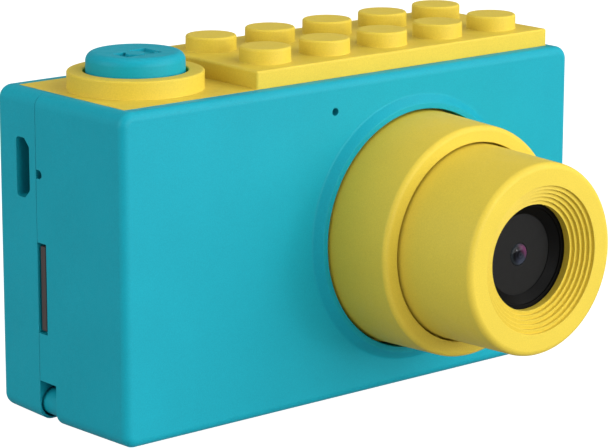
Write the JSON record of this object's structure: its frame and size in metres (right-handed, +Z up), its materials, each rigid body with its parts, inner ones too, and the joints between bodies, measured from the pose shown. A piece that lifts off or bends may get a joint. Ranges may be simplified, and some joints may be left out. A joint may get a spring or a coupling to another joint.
{
  "type": "kids digital camera",
  "caption": "Toy compact digital camera: rounded two-shell body, stepped lens barrel with terraced mouth, brick-stud top panel, round shutter button, display and keys at the back.",
  "frame": {"origin": "centre of the body's flat bottom face, on the surface it stands on", "axes": "+X to the right seen from the front, -Y the way the lens points, +Z up"},
  "size_m": [0.0764, 0.0506, 0.0472],
  "materials": {
    "teal_plastic": "fine satin moulded ABS",
    "yellow_plastic": "fine satin moulded ABS",
    "black_plastic": "matte black",
    "disc_plastic": "dark grey, even",
    "lens_glass": "coated, violet sheen",
    "display_window": "clear acrylic over a dark mask, glossy",
    "circuit_board": "green solder mask",
    "flex": "polyimide ribbon",
    "sheet_metal": "plated",
    "screw_steel": "zinc plated",
    "battery_foil": "laminate pouch",
    "key_rubber": "silicone",
    "card_plastic": "dark brown-grey",
    "lamp": "clear epoxy"
  },
  "bodies": {
    "case": {"front_cover": "teal_plastic", "rear_cover": "teal_plastic", "top_panel": "yellow_plastic", "lens_outer_barrel": "yellow_plastic", "lens_inner_barrel": "yellow_plastic", "lens_bezel": "black_plastic", "lens_disc": "disc_plastic", "display_window": "display_window", "usb_shell": "sheet_metal", "microsd_socket": "sheet_metal", "shutter_switch": "black_plastic", "shutter_board": "circuit_board", "camera_module": "black_plastic", "module_bracket": "black_plastic", "sensor_board": "circuit_board", "sensor_flex": "flex", "main_board": "circuit_board", "battery": "battery_foil", "lcd_module": "sheet_metal", "key_board": "circuit_board", "dome_sheet": "key_rubber", "usb_tongue": "black_plastic", "charge_lamp": "lamp", "microphone": "sheet_metal", "speaker": "black_plastic", "lens_glass": "lens_glass", "case_screw_1": "screw_steel", "case_screw_2": "screw_steel", "case_screw_3": "screw_steel", "case_screw_4": "screw_steel", "lens_screw_1": "screw_steel", "lens_screw_2": "screw_steel", "lens_screw_3": "screw_steel", "board_screw_1": "screw_steel", "board_screw_2": "screw_steel", "board_screw_3": "screw_steel", "panel_screw_1": "screw_steel", "panel_screw_2": "screw_steel", "bracket_screw_1": "screw_steel", "bracket_screw_2": "screw_steel"},
    "shutter": {"shutter_button": "teal_plastic"},
    "card": {"microsd_card": "card_plastic"},
    "ok_key_body": {"ok_key": "yellow_plastic"},
    "up_key_body": {"up_key": "yellow_plastic"},
    "down_key_body": {"down_key": "yellow_plastic"},
    "left_key_body": {"left_key": "yellow_plastic"},
    "right_key_body": {"right_key": "yellow_plastic"},
    "power_key_body": {"power_key": "yellow_plastic"},
    "menu_key_body": {"menu_key": "yellow_plastic"}
  },
  "joints": [
    {"name": "shutter_press", "type": "slide", "parent": "case", "child": "shutter", "axis": [0, 0, -1], "range_m": [0, 0.001], "stiffness_N_per_m": 800, "springref_m": -0.001},
    {"name": "card_slide", "type": "slide", "parent": "case", "child": "card", "axis": [-1, 0, 0], "range_m": [0, 0.012]},
    {"name": "ok_press", "type": "slide", "parent": "case", "child": "ok_key_body", "axis": [0, -1, 0], "range_m": [0, 0.0005], "stiffness_N_per_m": 2000, "springref_m": -0.0003},
    {"name": "up_press", "type": "slide", "parent": "case", "child": "up_key_body", "axis": [0, -1, 0], "range_m": [0, 0.0005], "stiffness_N_per_m": 2000, "springref_m": -0.0003},
    {"name": "down_press", "type": "slide", "parent": "case", "child": "down_key_body", "axis": [0, -1, 0], "range_m": [0, 0.0005], "stiffness_N_per_m": 2000, "springref_m": -0.0003},
    {"name": "left_press", "type": "slide", "parent": "case", "child": "left_key_body", "axis": [0, -1, 0], "range_m": [0, 0.0005], "stiffness_N_per_m": 2000, "springref_m": -0.0003},
    {"name": "right_press", "type": "slide", "parent": "case", "child": "right_key_body", "axis": [0, -1, 0], "range_m": [0, 0.0005], "stiffness_N_per_m": 2000, "springref_m": -0.0003},
    {"name": "power_press", "type": "slide", "parent": "case", "child": "power_key_body", "axis": [0, -1, 0], "range_m": [0, 0.0005], "stiffness_N_per_m": 2000, "springref_m": -0.0003},
    {"name": "menu_press", "type": "slide", "parent": "case", "child": "menu_key_body", "axis": [0, -1, 0], "range_m": [0, 0.0005], "stiffness_N_per_m": 2000, "springref_m": -0.0003}
  ]
}
